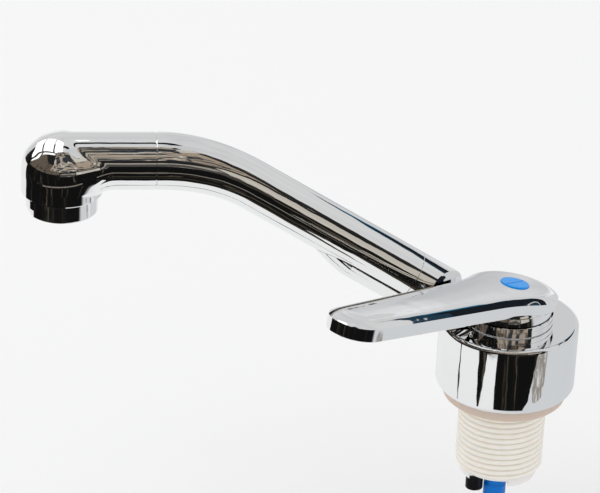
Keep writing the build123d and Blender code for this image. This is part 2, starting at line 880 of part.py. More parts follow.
def make_aerator_collar():
    """Screwed collar of the aerator with two wrench flats."""
    y = -outlet_distance
    low = aerator_bottom()
    collar = rod(aerator_radius, low, outlet_seam - free_gap, 0, y)
    collar = fillet(collar.edges().sort_by(Axis.Z)[0], aerator_edge)
    collar += rod(aerator_thread_radius, outlet_seam - 1, outlet_seam + aerator_thread_height, 0, y)
    collar -= rod(aerator_thread_radius - aerator_wall, low + aerator_lip, beyond, 0, y)
    collar -= rod(aerator_thread_radius - 2 * aerator_wall, low - 1, low + 3, 0, y)
    face = aerator_radius - aerator_flat_depth
    for side in (-1, 1):
        flat = block(-aerator_radius, aerator_radius, face, 2 * face, low - 1, low + aerator_flat_height)
        flat = flat.rotate(Axis.Z, 90 + 90 * side + aerator_flat_turn)
        collar -= Pos(0, y, 0) * flat
    return collar


def make_aerator_core():
    """Drilled plastic core that straightens the stream."""
    y = -outlet_distance
    low = aerator_bottom() + aerator_lip
    core = rod(aerator_thread_radius - aerator_wall - press_gap, low, low + core_height, 0, y)
    for i in range(-2, 3):
        for j in range(-2, 3):
            shift = core_pitch / 2 if j % 2 else 0.0
            x = i * core_pitch + shift
            if math.hypot(x, j * core_pitch) < core_hole_reach:
                core -= rod(core_hole, low - 1, low + core_height + 1, x, y + j * core_pitch)
    return core


def make_aerator_screen():
    """Fine screen on top of the core, drawn as a thin disc with a raised rim."""
    low = aerator_bottom() + aerator_lip + core_height
    radius = aerator_thread_radius - aerator_wall - press_gap
    screen = rod(radius, low, low + screen_thickness)
    screen += tube(radius, radius - screen_rim, low, low + 2 * screen_thickness)
    for k in range(screen_hole_count):
        angle = 2 * math.pi * k / screen_hole_count
        x = screen_hole_circle * math.cos(angle)
        y = screen_hole_circle * math.sin(angle)
        screen -= rod(screen_hole, low - 1, low + 2, x, y)
    return Pos(0, -outlet_distance, 0) * screen


def make_aerator_washer():
    """Flat washer between the aerator collar and the head."""
    low = outlet_seam + aerator_thread_height
    outer = outlet_bore - free_gap
    ring = tube(outer, outer - washer_width, low, low + washer_section)
    return Pos(0, -outlet_distance, 0) * ring


def make_shank_insert():
    """White plug that closes the shank round the tail and the cable sleeve."""
    plug = rod(insert_radius, insert_bottom, -shank_length)
    plug += rod(shank_bore - press_gap, -shank_length, -shank_length + insert_spigot)
    plug += rod(insert_boss_radius, insert_bottom - insert_boss_drop, insert_bottom, 0, insert_boss_offset)
    low = insert_bottom - insert_boss_drop - 1
    high = -shank_length + insert_spigot + 1
    plug -= rod(tail_radius + press_gap, low, high, 0, -tail_offset)
    plug -= rod(sleeve_radius + press_gap, low, high, 0, -sleeve_offset)
    notch_top = -shank_length - insert_notch_skin
    back, front = -insert_notch_back, insert_notch_front
    plug -= block(insert_notch_depth, insert_radius + 1, back, front, low, notch_top)
    plug -= rod(insert_blind_radius, low, low + 1 + insert_blind_depth, 0, insert_boss_offset)
    return plug


def make_inlet_tail():
    """Blue supply tail with a shoulder and barbs, from the column's socket to below the plug."""
    top = platform_top - free_gap
    shoulder_top = insert_bottom - tail_shoulder_drop
    shoulder_low = shoulder_top - tail_shoulder_height
    end = shoulder_low - tail_length + tail_shoulder_height
    tail = rod(tail_radius, shoulder_low, top)
    shoulder = rod(tail_shoulder_radius, shoulder_low, shoulder_top)
    tail += chamfer(shoulder.edges().group_by(Axis.Z)[-1], tail_shoulder_edge)
    spigot = tail_radius - tail_step
    tail += rod(spigot, end, shoulder_low)
    for k in range(tail_barb_count):
        low = end + tail_barb_start + k * tail_barb_pitch
        middle = low + tail_barb_length / 2
        tail += Pos(0, 0, middle) * Cone(spigot, spigot + tail_barb, tail_barb_length)
    tail -= rod(tail_bore, end - 1, top + 1)
    tail = Pos(0, -tail_offset, 0) * tail
    return tail - tail_seal_groove()


def tail_seal_height():
    """Height of the seal on the tail inside the column's socket."""
    return platform_top - socket_depth / 2


def tail_seal_groove():
    """Groove for that seal."""
    groove = seal_groove(tail_radius, tail_ring_section, tail_seal_height())
    return Pos(0, -tail_offset, 0) * groove


def make_inlet_seal():
    """Seal on the inlet tail."""
    return seal_ring(tail_radius, tail_ring_section, tail_seal_height(), 0, -tail_offset)


def make_cable_sleeve():
    """Black sleeve in the plug for the switch lead, closed by its flat end."""
    low = insert_bottom - sleeve_drop
    sleeve = rod(sleeve_radius, low, -shank_length + sleeve_rise)
    sleeve -= rod(sleeve_bore, low - 1, -shank_length + sleeve_rise + 1)
    return Pos(0, -sleeve_offset, 0) * sleeve


def write(name, solids):
    """Write one named piece, or a group of like pieces, to its own file."""
    if isinstance(solids, list):
        solids = Compound(children=solids)
    export_step(solids, "parts/" + name + ".step")
    print(name, "written")


os.makedirs("parts", exist_ok=True)
write("base_shank", make_base_shank())
write("body_shell", make_body_shell())
write("stop_pin", make_stop_pin())
write("glide_washer", make_glide_washer())
write("valve_column", make_valve_column())
write("column_seals", make_column_seals())
write("column_screws", make_column_screws())
write("retaining_ring", make_retaining_ring())
write("cartridge_base", make_cartridge_base())
write("cartridge_seal", make_cartridge_seal())
write("cartridge_housing", make_cartridge_housing())
write("cartridge_nut", make_cartridge_nut())
write("stem_guide", make_stem_guide())
write("pivot_pin", make_pivot_pin())
write("dome_ring", make_dome_ring())
write("fixed_disc", make_fixed_disc())
write("moving_disc", make_moving_disc())
write("disc_carrier", make_disc_carrier())
write("valve_stem", make_stem())
write("lever_handle", make_lever())
write("lever_screw", make_lever_screw())
write("index_cap", make_index_cap())
write("switch_case", make_switch_case())
write("switch_screws", make_switch_screws())
write("switch_terminals", make_switch_terminals())
write("switch_follower", make_switch_follower())
write("spout_neck", make_spout_neck())
write("spout_tube", make_spout_tube())
lower_spot, upper_spot = tube_seal_spots()
write("tube_seal_lower", make_tube_seal(lower_spot))
write("tube_seal_upper", make_tube_seal(upper_spot))
write("outlet_head", make_outlet_head())
write("aerator_collar", make_aerator_collar())
write("aerator_core", make_aerator_core())
write("aerator_screen", make_aerator_screen())
write("aerator_washer", make_aerator_washer())
write("shank_insert", make_shank_insert())
write("inlet_tail", make_inlet_tail())
write("inlet_seal", make_inlet_seal())
write("cable_sleeve", make_cable_sleeve())
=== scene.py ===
import json
import math

import bmesh
import bpy
from mathutils import Matrix, Vector


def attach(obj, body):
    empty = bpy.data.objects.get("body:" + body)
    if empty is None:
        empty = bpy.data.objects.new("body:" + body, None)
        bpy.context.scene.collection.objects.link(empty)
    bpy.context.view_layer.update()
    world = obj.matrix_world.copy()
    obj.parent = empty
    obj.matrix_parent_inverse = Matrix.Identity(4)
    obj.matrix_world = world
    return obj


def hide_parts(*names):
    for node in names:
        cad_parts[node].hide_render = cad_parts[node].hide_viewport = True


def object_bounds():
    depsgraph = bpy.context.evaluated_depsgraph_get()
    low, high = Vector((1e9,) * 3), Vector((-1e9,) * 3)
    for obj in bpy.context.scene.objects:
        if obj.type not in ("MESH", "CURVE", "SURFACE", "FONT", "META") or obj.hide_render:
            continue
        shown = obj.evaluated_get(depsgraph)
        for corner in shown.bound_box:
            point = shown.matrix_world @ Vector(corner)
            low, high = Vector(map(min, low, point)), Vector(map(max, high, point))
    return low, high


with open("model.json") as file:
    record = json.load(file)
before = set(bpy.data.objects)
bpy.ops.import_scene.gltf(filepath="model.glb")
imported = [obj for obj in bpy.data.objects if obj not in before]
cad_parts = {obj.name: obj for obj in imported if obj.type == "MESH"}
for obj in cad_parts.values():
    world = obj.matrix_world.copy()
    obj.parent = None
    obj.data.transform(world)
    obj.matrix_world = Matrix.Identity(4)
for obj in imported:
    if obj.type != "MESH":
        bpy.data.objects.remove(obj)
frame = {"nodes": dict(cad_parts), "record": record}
cadLow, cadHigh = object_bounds()
scene = bpy.context.scene


# Node building, shared by materials and geometry trees

class Wire:
    # an output socket that takes part in sums and products
    def __init__(self, tree, socket):
        self.tree = tree
        self.socket = socket

    def maths(self, operation, *others):
        values = {0: self}
        for place, other in enumerate(others, start=1):
            values[place] = other
        return self.tree.add("ShaderNodeMath", {"operation": operation}, values)

    def __add__(self, other):
        return self.maths("ADD", other)

    __radd__ = __add__

    def __sub__(self, other):
        return self.maths("SUBTRACT", other)

    def __rsub__(self, other):
        return self.maths("MULTIPLY", -1.0).maths("ADD", other)

    def __mul__(self, other):
        return self.maths("MULTIPLY", other)

    __rmul__ = __mul__

    def __truediv__(self, other):
        return self.maths("DIVIDE", other)

    def power(self, exponent):
        return self.maths("POWER", exponent)

    def fraction(self):
        return self.maths("FRACT")

    def cosine(self):
        return self.maths("COSINE")

    def sine(self):
        return self.maths("SINE")

    def clampTo(self, low, high):
        return self.maths("MAXIMUM", low).maths("MINIMUM", high)

    def ramp(self, low, high):
        # 0 at low, 1 at high, eased at both ends
        values = {"Value": self, "From Min": low, "From Max": high}
        return self.tree.add("ShaderNodeMapRange", {"interpolation_type": "SMOOTHSTEP"}, values)


class Tree:
    def __init__(self, nodeTree):
        self.nodeTree = nodeTree

    def add(self, kind, settings=None, values=None, output=0):
        # one node: its settings first, then the values or links of its sockets
        node = self.nodeTree.nodes.new(kind)
        for name, value in (settings or {}).items():
            setattr(node, name, value)
        for key, value in (values or {}).items():
            if isinstance(value, Wire):
                self.nodeTree.links.new(value.socket, node.inputs[key])
            else:
                node.inputs[key].default_value = value
        return Wire(self, node.outputs[output]) if output is not None else node

    def mixColour(self, amount, first, second):
        return self.add("ShaderNodeMix", {"data_type": "RGBA"}, {0: amount, 6: first, 7: second}, 2)

    def parts(self, vector):
        split = self.add("ShaderNodeSeparateXYZ", None, {0: vector}).socket.node
        return [Wire(self, socket) for socket in split.outputs]


# the shader's sockets by short names
socketNames = {
    "colour": "Base Color", "rough": "Roughness", "metal": "Metallic", "normal": "Normal",
    "gloss": "Specular IOR Level", "glow": "Subsurface Weight", "glowReach": "Subsurface Radius",
    "glowScale": "Subsurface Scale",
}


class Finish(Tree):
    # a material whose Principled shader takes plain values and wires
    def __init__(self, name):
        self.material = bpy.data.materials.new(name)
        self.material.use_nodes = True
        super().__init__(self.material.node_tree)
        self.shader = self.nodeTree.nodes["Principled BSDF"]
        coordinates = self.nodeTree.nodes.new("ShaderNodeTexCoord")
        self.place = Wire(self, coordinates.outputs["Object"])

    def noise(self, scale, detail=3.0, roughness=0.5, stretch=None):
        vector = self.place
        if stretch:
            vector = self.add("ShaderNodeMapping", None, {"Vector": self.place, "Scale": stretch})
        values = {"Vector": vector, "Scale": scale, "Detail": detail, "Roughness": roughness}
        return self.add("ShaderNodeTexNoise", None, values)

    def scratches(self, scale, width):
        # thin lines along the edges of a cell pattern
        cells = {"Vector": self.place, "Scale": scale}
        border = self.add("ShaderNodeTexVoronoi", {"feature": "DISTANCE_TO_EDGE"}, cells)
        return 1.0 - border.ramp(0.0, width)

    def bump(self, height, strength, distance):
        values = {"Height": height, "Strength": strength, "Distance": distance}
        return self.add("ShaderNodeBump", None, values)

    def set(self, **sockets):
        for name, value in sockets.items():
            socket = self.shader.inputs[socketNames[name]]
            if isinstance(value, Wire):
                self.nodeTree.links.new(value.socket, socket)
            else:
                socket.default_value = value
        return self.material


# Finishes: shares and levels from 0 to 1, noise scales per metre, heights and radii in metres

chromeLook = {
    "bright": (0.93, 0.935, 0.94, 1), "dull": (0.86, 0.865, 0.87, 1),
    "smudgeScale": 28.0, "smudge": (0.42, 0.72), "smudgeRough": 0.6, "smudgeDull": 0.35,
    "streakScale": 60.0, "streakStretch": (1.0, 0.25, 1.0), "streak": (0.55, 0.8), "streakDull": 0.2,
    "fineScale": 1400.0, "fineRough": 0.25, "roughLow": 0.025, "roughHigh": 0.075,
    "waveScale": 70.0, "waveDetail": 1.5, "waveHeight": 0.00022,
}


def chromePlate(name, dulling=0.0):
    # polished plating: faint smudges and streaks over a skin that waves a little
    finish = Finish(name)
    look = chromeLook
    smudge = finish.noise(look["smudgeScale"], detail=5.0, roughness=0.6).ramp(*look["smudge"])
    fine = finish.noise(look["fineScale"], detail=2.0)
    streak = finish.noise(look["streakScale"], detail=4.0, roughness=0.7, stretch=look["streakStretch"])
    streak = streak.ramp(*look["streak"])
    uneven = smudge * look["smudgeRough"] + fine * look["fineRough"]
    rough = look["roughLow"] + dulling + (look["roughHigh"] - look["roughLow"]) * uneven
    worn = smudge * look["smudgeDull"] + streak * look["streakDull"]
    colour = finish.mixColour(worn, look["bright"], look["dull"])
    wave = finish.noise(look["waveScale"], detail=look["waveDetail"])
    normal = finish.bump(wave, 1.0, look["waveHeight"])
    return finish.set(colour=colour, rough=rough, metal=1.0, normal=normal)


nylonLook = {
    # the next line's entries for the thread's grooves paint shade into their hollows
    "grooveDepth": 0.0011, "grooveShade": 0.16,
    "cloudScale": 70.0, "cloud": (0.35, 0.7), "cloudShade": 0.55, "cloudRough": 0.1, "cloudBump": 0.6,
    "flowScale": 30.0, "flowStretch": (1.0, 1.0, 0.2), "flow": (0.4, 0.7), "flowShade": 0.25,
    # the next line's entries paint a warmer, darker shade onto the flange under the chrome body
    "paintedShadeOut": (0.0172, 0.0212), "paintedShadeUp": (-0.004, 0.0012), "paintedShadeShare": 0.8, "paintedShadeColour": (0.56, 0.43, 0.35, 1),
    "grainScale": 2600.0, "grainRough": 0.08, "grainStrength": 0.35, "grainHeight": 0.00008, "rough": 0.38,
    "glow": 0.35, "glowReach": (1.0, 0.72, 0.5), "glowScale": 0.004,
}
# each kind's colour for the thread's grooves is painted shade for their hollows
nylons = {
    "ivory_plastic": {"name": "ivory nylon", "pale": (0.88, 0.84, 0.775, 1), "shade": (0.84, 0.785, 0.70, 1),
                      "groove": (0.60, 0.50, 0.40, 1), "grooveRadius": 0.0153},
    "white_plastic": {"name": "white nylon", "pale": (0.84, 0.82, 0.79, 1), "shade": (0.79, 0.765, 0.73, 1),
                      "groove": (0.7, 0.66, 0.6, 1), "grooveRadius": 0.001},
}


def mouldedNylon(kind):
    # cloudy colour, with painted shade darkening the thread's grooves and a painted, warmer shade on the
    # flange under the chrome body
    finish = Finish(kind["name"])
    look = nylonLook
    x, y, z = finish.parts(finish.place)
    radius = (x * x + y * y).power(0.5)
    # painted shade: the thread's grooves are darkened where their hollows fall in shade
    groove = 1.0 - radius.ramp(kind["grooveRadius"], kind["grooveRadius"] + look["grooveDepth"])
    cloud = finish.noise(look["cloudScale"], detail=4.0, roughness=0.55).ramp(*look["cloud"])
    flow = finish.noise(look["flowScale"], stretch=look["flowStretch"]).ramp(*look["flow"])
    mottle = cloud * look["cloudShade"] + flow * look["flowShade"]
    colour = finish.mixColour(mottle, kind["pale"], kind["shade"])
    colour = finish.mixColour(groove * look["grooveShade"], colour, kind["groove"])
    # painted shade: the flange's top under the chrome body is darkened and warmed
    paintedShadeUnderShell = radius.ramp(*look["paintedShadeOut"]) * z.ramp(*look["paintedShadeUp"])
    colour = finish.mixColour(paintedShadeUnderShell * look["paintedShadeShare"], colour, look["paintedShadeColour"])
    grain = finish.noise(look["grainScale"], detail=2.0)
    rough = look["rough"] + cloud * look["cloudRough"] + grain * look["grainRough"]
    normal = finish.bump(grain + cloud * look["cloudBump"], look["grainStrength"], look["grainHeight"])
    finish.set(glow=look["glow"], glowReach=look["glowReach"], glowScale=look["glowScale"])
    return finish.set(colour=colour, rough=rough, normal=normal)


plasticLook = {
    "cloudScale": 120.0, "cloud": (0.35, 0.7), "cloudShade": 0.5, "cloudRough": 0.06,
    "scratchScale": 420.0, "scratchWidth": 0.05, "patchScale": 260.0, "patch": (0.5, 0.75),
    "wearShade": 0.2, "wearRough": 0.1, "grainScale": 3200.0, "grainStrength": 0.4,
}
plastics = {
    "blue_plastic": {"name": "blue pipe", "rough": 0.3, "grainHeight": 0.00006, "gloss": 0.25,
                     "main": (0.0005, 0.155, 0.57, 1), "other": (0.001, 0.18, 0.62, 1)},
    "index_blue": {"name": "blue index", "rough": 0.25, "grainHeight": 0.00003, "gloss": 0.35,
                   "main": (0.012, 0.30, 0.82, 1), "other": (0.02, 0.33, 0.86, 1)},
    "black_plastic": {"name": "black sleeve", "rough": 0.36, "grainHeight": 0.0001, "gloss": 0.3,
                      "main": (0.005, 0.005, 0.006, 1), "other": (0.014, 0.014, 0.015, 1)},
    "ceramic": {"name": "lapped ceramic", "rough": 0.12, "grainHeight": 0.00002, "gloss": 0.5,
                "main": (0.86, 0.85, 0.81, 1), "other": (0.8, 0.79, 0.75, 1)},
}


def smoothPlastic(kind):
    # even colour with faint clouds, patches of fine scratches and a fine grain
    finish = Finish(kind["name"])
    look = plasticLook
    cloud = finish.noise(look["cloudScale"], detail=4.0).ramp(*look["cloud"])
    grain = finish.noise(look["grainScale"], detail=2.0)
    patch = finish.noise(look["patchScale"]).ramp(*look["patch"])
    wear = finish.scratches(look["scratchScale"], look["scratchWidth"]) * patch
    change = cloud * look["cloudShade"] + wear * look["wearShade"]
    colour = finish.mixColour(change, kind["main"], kind["other"])
    rough = kind["rough"] + cloud * look["cloudRough"] + wear * look["wearRough"]
    normal = finish.bump(grain, look["grainStrength"], kind["grainHeight"])
    return finish.set(colour=colour, rough=rough, normal=normal, gloss=kind["gloss"])


metalLook = {
    "ringScale": 900.0, "ringStretch": (0.06, 0.06, 1.0), "ringShade": 0.3, "ringRough": 0.12,
    "ringStrength": 0.5, "ringHeight": 0.00004,
    "stainScale": 90.0, "stain": (0.4, 0.75), "stainShade": 0.6, "stainRough": 0.1,
}
metals = {
    "brass": {"name": "turned brass", "rough": 0.2,
              "main": (0.78, 0.58, 0.27, 1), "other": (0.62, 0.44, 0.2, 1)},
    "steel": {"name": "stainless steel", "rough": 0.22,
              "main": (0.66, 0.66, 0.67, 1), "other": (0.54, 0.54, 0.56, 1)},
}


def turnedMetal(kind):
    # lathe rings round the upright axis and a little stain
    finish = Finish(kind["name"])
    look = metalLook
    rings = finish.noise(look["ringScale"], roughness=0.6, stretch=look["ringStretch"])
    stain = finish.noise(look["stainScale"], detail=4.0).ramp(*look["stain"])
    change = stain * look["stainShade"] + rings * look["ringShade"]
    colour = finish.mixColour(change, kind["main"], kind["other"])
    rough = kind["rough"] + rings * look["ringRough"] + stain * look["stainRough"]
    normal = finish.bump(rings, look["ringStrength"], look["ringHeight"])
    return finish.set(colour=colour, rough=rough, metal=1.0, normal=normal)


rubberLook = {
    "main": (0.012, 0.012, 0.013, 1), "dusty": (0.06, 0.06, 0.062, 1),
    "dustScale": 500.0, "dust": (0.5, 0.8), "dustShade": 0.5,
    "grainScale": 2400.0, "grainRough": 0.15, "grainStrength": 0.4, "grainHeight": 0.00006, "rough": 0.55,
}


def softRubber(name):
    finish = Finish(name)
    look = rubberLook
    dust = finish.noise(look["dustScale"], detail=4.0).ramp(*look["dust"])
    grain = finish.noise(look["grainScale"], detail=2.0)
    colour = finish.mixColour(dust * look["dustShade"], look["main"], look["dusty"])
    rough = look["rough"] + grain * look["grainRough"]
    normal = finish.bump(grain, look["grainStrength"], look["grainHeight"])
    return finish.set(colour=colour, rough=rough, normal=normal)


print("stage: finishes")
finishes = {
    "chrome": chromePlate("bright chrome"),
    "chrome_dark": chromePlate("aerator chrome", 0.03),
    "seal_rubber": softRubber("seal rubber"),
}
for kinds, makeFinish in ((nylons, mouldedNylon), (plastics, smoothPlastic), (metals, turnedMetal)):
    for slotName, kind in kinds.items():
        finishes[slotName] = makeFinish(kind)


def dress(node, finish):
    obj = frame["nodes"][node]
    obj.data.materials.clear()
    obj.data.materials.append(finishes[finish])


slots = {part["node"]: part["material_slot"] for part in frame["record"]["subparts"]}
for nodeName in frame["nodes"]:
    dress(nodeName, slots[nodeName])


# Pieces swept or turned by geometry nodes

# doubles closer than this are merged, in metres
mergeGap = {"sheets": 0.00001, "rings": 0.000004}


class SheetTree(Tree):
    # a geometry tree of grids that are bent into place by formulas
    def __init__(self, name, sizes):
        super().__init__(bpy.data.node_groups.new(name, "GeometryNodeTree"))
        self.sizes = sizes
        self.sheets = []
        for label in sizes:
            self.port(label, "INPUT", "NodeSocketFloat")
        self.port("Geometry", "OUTPUT", "NodeSocketGeometry")
        self.ports = self.nodeTree.nodes.new("NodeGroupInput")

    def port(self, label, way, kind):
        self.nodeTree.interface.new_socket(name=label, in_out=way, socket_type=kind)

    def size(self, label):
        return Wire(self, self.ports.outputs[label])

    def sheet(self, around, rows, place):
        # place takes the angle round the piece and the share along it, and gives x, y and z
        cells = {"Size X": 1.0, "Size Y": 1.0, "Vertices X": around + 1, "Vertices Y": rows + 1}
        grid = self.add("GeometryNodeMeshGrid", None, cells)
        u, v = self.parts(self.add("GeometryNodeInputPosition"))[:2]
        x, y, z = place((u + 0.5) * math.tau, v + 0.5)
        target = self.add("ShaderNodeCombineXYZ", None, {0: x, 1: y, 2: z})
        bent = {"Geometry": grid, "Position": target}
        self.sheets.append(self.add("GeometryNodeSetPosition", None, bent))

    def finish(self, material):
        join = self.add("GeometryNodeJoinGeometry", output=None)
        for sheet in self.sheets:
            self.nodeTree.links.new(sheet.socket, join.inputs[0])
        whole = {"Geometry": Wire(self, join.outputs[0]), "Distance": mergeGap["sheets"]}
        closed = self.add("GeometryNodeMergeByDistance", None, whole)
        real = self.add("GeometryNodeRealizeInstances", None, {"Geometry": closed})
        dressed = self.add("GeometryNodeSetMaterial", None, {"Geometry": real, "Material": material})
        self.add("NodeGroupOutput", None, {0: dressed}, None)


def plainPiece(name, tree, sharpAngle):
    # run a geometry tree once and keep its result as an ordinary mesh
    holder = bpy.data.objects.new(name + " maker", bpy.data.meshes.new(name + " maker"))
    scene.collection.objects.link(holder)
    modifier = holder.modifiers.new("make", "NODES")
    modifier.node_group = tree.nodeTree
    for item in tree.nodeTree.interface.items_tree:
        if item.in_out == "INPUT":
            modifier[item.identifier] = tree.sizes[item.name]
    made = holder.evaluated_get(bpy.context.evaluated_depsgraph_get())
    mesh = bpy.data.meshes.new_from_object(made)
    bpy.data.objects.remove(holder)
    mesh.name = name
    bm = bmesh.new()
    bm.from_mesh(mesh)
    bmesh.ops.recalc_face_normals(bm, faces=bm.faces)
    bm.to_mesh(mesh)
    bm.free()
    return placed(name, mesh, sharpAngle)


def placed(name, mesh, sharpAngle):
    mesh.shade_smooth()
    mesh.set_sharp_from_angle(angle=math.radians(sharpAngle))
    piece = bpy.data.objects.new(name, mesh)
    scene.collection.objects.link(piece)
    return piece


# spout tube, in metres; distances run from the swivel axis towards the outlet
spoutSizes = {
    "Bend radius": 0.068, "Rise angle": math.radians(31.5), "Neck radius": 0.0093, "Head radius": 0.0106,
}
spoutPlan = {
    "level": 0.0979, "riseDistance": 0.0829, "riseHeight": 0.0784, "neckSeam": 0.0385, "straightRun": 0.0006,
    "bore": 0.006, "spigot": 0.0074, "spigotLength": 0.0077, "edge": 0.00025,
    "around": 128, "skinRows": 180, "boreRows": 60, "sharpAngle": 30.0,
}


def makeSpoutTube():
    sizes, plan = spoutSizes, spoutPlan
    tree = SheetTree("swept tube", sizes)
    rise, bendRadius = sizes["Rise angle"], sizes["Bend radius"]
    neckRadius, headRadius = sizes["Neck radius"], sizes["Head radius"]
    level, neckSeam = plan["level"], plan["neckSeam"]
    # the straight and the level stretch would meet at the corner that the bend rounds off
    corner = plan["riseDistance"] + (level - plan["riseHeight"]) / math.tan(rise)
    tangent = bendRadius * math.tan(rise / 2)
    bendStart = corner - tangent * math.cos(rise)
    firstRun = (bendStart - neckSeam) / math.cos(rise)
    bendRun = bendRadius * rise
    whole = firstRun + bendRun + plan["straightRun"]
    startHeight = level - bendRadius * (1 - math.cos(rise)) - firstRun * math.sin(rise)
    radius = tree.size("Bend radius")
    angle = tree.size("Rise angle")

    def onPath(turn, along, reach):
        # a point at a turn round the centreline, an arc length along it and a reach from it
        lean = angle * (1.0 - ((along - firstRun) / bendRun).clampTo(0.0, 1.0))
        sloped = along.maths("MINIMUM", firstRun)
        flat = (along - (firstRun + bendRun)).maths("MAXIMUM", 0.0)
        distance = sloped * angle.cosine() + radius * (angle.sine() - lean.sine()) + flat + neckSeam
        height = sloped * angle.sine() + radius * (lean.cosine() - angle.cosine()) + startHeight
        x = reach * turn.cosine()
        y = reach * turn.sine() * lean.sine() - distance
        return x, y, reach * turn.sine() * lean.cosine() + height

    edge, spigot, spigotLength, bore = plan["edge"], plan["spigot"], plan["spigotLength"], plan["bore"]

    def skin(turn, share):
        along = share * (whole - 2 * edge) + edge
        swell = (along / whole).ramp(firstRun / whole, 1.0)
        reach = tree.size("Neck radius") + swell * (headRadius - neckRadius)
        return onPath(turn, along, reach)

    def strip(start, end):
        def place(turn, share):
            along = share * (end[0] - start[0]) + start[0]
            return onPath(turn, along, share * (end[1] - start[1]) + start[1])
        return place

    tree.sheet(plan["around"], plan["skinRows"], skin)
    head = [(whole - edge, headRadius), (whole, headRadius - edge), (whole, spigot),
            (whole + spigotLength, spigot), (whole + spigotLength, bore)]
    neck = [(-spigotLength, bore), (-spigotLength, spigot), (0.0, spigot),
            (0.0, neckRadius - edge), (edge, neckRadius)]
    for profile in (head, neck):
        for start, end in zip(profile, profile[1:]):
            tree.sheet(plan["around"], 1, strip(start, end))
    tree.sheet(plan["around"], plan["boreRows"], strip(head[-1], neck[0]))
    tree.finish(finishes["chrome"])
    tube = plainPiece("spoutTube", tree, plan["sharpAngle"])
    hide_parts("spout_tube")
    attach(tube, "spout")


# threaded base, in metres: the shank's helical thread, the flange and the platform under the shell
baseSizes = {"Pitch": 0.002309, "Depth": 0.0011, "Groove share": 0.34}
basePlan = {
    "crest": 0.0166, "bottom": -0.0303, "threadTop": -0.0030, "leadTaper": 0.0016, "leadStep": 0.0005,
    "runOut": 0.0012, "crestRound": 2.4, "bore": 0.013, "topChamfer": 0.0007,
    "flange": 0.0232, "flangeTop": 0.0045, "flangeEdge": 0.0006, "platform": 0.02275, "platformTop": 0.0085,
    "around": 144, "threadRows": 300, "sharpAngle": 40.0,
}


def makeBase():
    sizes, plan = baseSizes, basePlan
    tree = SheetTree("threaded base", sizes)
    crest, bottom, top = plan["crest"], plan["bottom"], plan["threadTop"]
    root = crest - sizes["Depth"]
    # enough whole turns to keep the phase above zero down to the thread's end
    wholeTurns = 100.0

    def thread(turn, share):
        height = share * (top - bottom) + bottom
        phase = (height / tree.size("Pitch") - turn * (1 / math.tau) + wholeTurns).fraction()
        fromGroove = 0.5 - (phase - 0.5).maths("ABSOLUTE")
        slope = 1.0 - (fromGroove / tree.size("Groove share")).clampTo(0.0, 1.0)
        rise = 1.0 - slope.power(plan["crestRound"])
        runOut = height.ramp(top - plan["runOut"], top)
        lead = height.ramp(bottom, bottom + plan["leadTaper"])
        full = rise.maths("MAXIMUM", runOut)
        reach = full * lead * tree.size("Depth") + root - (1.0 - lead) * plan["leadStep"]
        return reach * turn.cosine(), reach * turn.sine(), height

    def strip(start, end):
        def place(turn, share):
            reach = share * (end[0] - start[0]) + start[0]
            return reach * turn.cosine(), reach * turn.sine(), share * (end[1] - start[1]) + start[1]
        return place

    bore, topChamfer, edge = plan["bore"], plan["topChamfer"], plan["flangeEdge"]
    flange, flangeTop = plan["flange"], plan["flangeTop"]
    platform, platformTop = plan["platform"], plan["platformTop"]
    outline = [(crest, top), (crest, -topChamfer), (crest + topChamfer, 0.0), (flange - edge, 0.0),
               (flange, edge), (flange, flangeTop), (platform, flangeTop), (platform, platformTop),
               (bore, platformTop), (bore, bottom), (root - plan["leadStep"], bottom)]
    tree.sheet(plan["around"], plan["threadRows"], thread)
    for start, end in zip(outline, outline[1:]):
        tree.sheet(plan["around"], 1, strip(start, end))
    tree.finish(finishes["ivory_plastic"])
    base = plainPiece("threadedBase", tree, plan["sharpAngle"])
    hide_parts("base_shank")
    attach(base, "base")


# Pieces laid in rings of points

def ringMesh(name, rings):
    # rings with as many points each, joined one to the next; a ring of one spot closes as a pole
    bm = bmesh.new()
    grid = [[bm.verts.new(point) for point in ring] for ring in rings]
    count = len(rings[0])
    for upper, lower in zip(grid, grid[1:]):
        for k in range(count):
            bm.faces.new((upper[k], upper[(k + 1) % count], lower[(k + 1) % count], lower[k]))
    bmesh.ops.remove_doubles(bm, verts=bm.verts, dist=mergeGap["rings"])
    bmesh.ops.recalc_face_normals(bm, faces=bm.faces)
    mesh = bpy.data.meshes.new(name)
    bm.to_mesh(mesh)
    bm.free()
    mesh.materials.append(finishes["chrome"])
    return mesh


# outlet head, in metres from the dome's centre: y towards the tube, z up
headSizes = {
    "run": 0.0338, "distance": 0.1683, "height": 0.0936, "ball": 0.0149, "skirt": 0.0079,
    "tube": 0.0106, "tubeRise": 0.0043, "edge": 0.0003, "rimEdge": 0.0006,
    "socket": 0.00745, "socketDepth": 0.0080, "bore": 0.0110, "boreDepth": 0.0074,
    "blend": 0.0062, "leastBlend": 0.0002, "rimStart": 0.0050, "topStart": 0.0055, "topEnd": 0.0125,
}
# the skin's rows lean from the seam to the rim by shares of a right angle
headRows = {
    "around": 160, "rows": 110, "joinRows": 10, "leanStart": 0.14, "leanSpan": 0.835,
    "farthest": 0.045, "halvings": 26, "sharpAngle": 32.0,
}


def eased(share):
    share = min(max(share, 0.0), 1.0)
    return share * share * (3 - 2 * share)


def headDepth(x, y, z):
    # below zero inside the head: a ball on a round skirt, blended softly with the tube
    size = headSizes
    ball = math.hypot(x, y, max(z, 0.0)) - size["ball"]
    tube = math.hypot(x, min(y, 0.0), z - size["tubeRise"]) - size["tube"]
    rim = eased((z + size["skirt"]) / size["rimStart"])
    top = 1 - eased((z - size["topStart"]) / (size["topEnd"] - size["topStart"]))
    blend = size["blend"] * rim * top + size["leastBlend"]
    near = max(blend - abs(ball - tube), 0.0)
    return min(ball, tube) - near * near / (4 * blend)


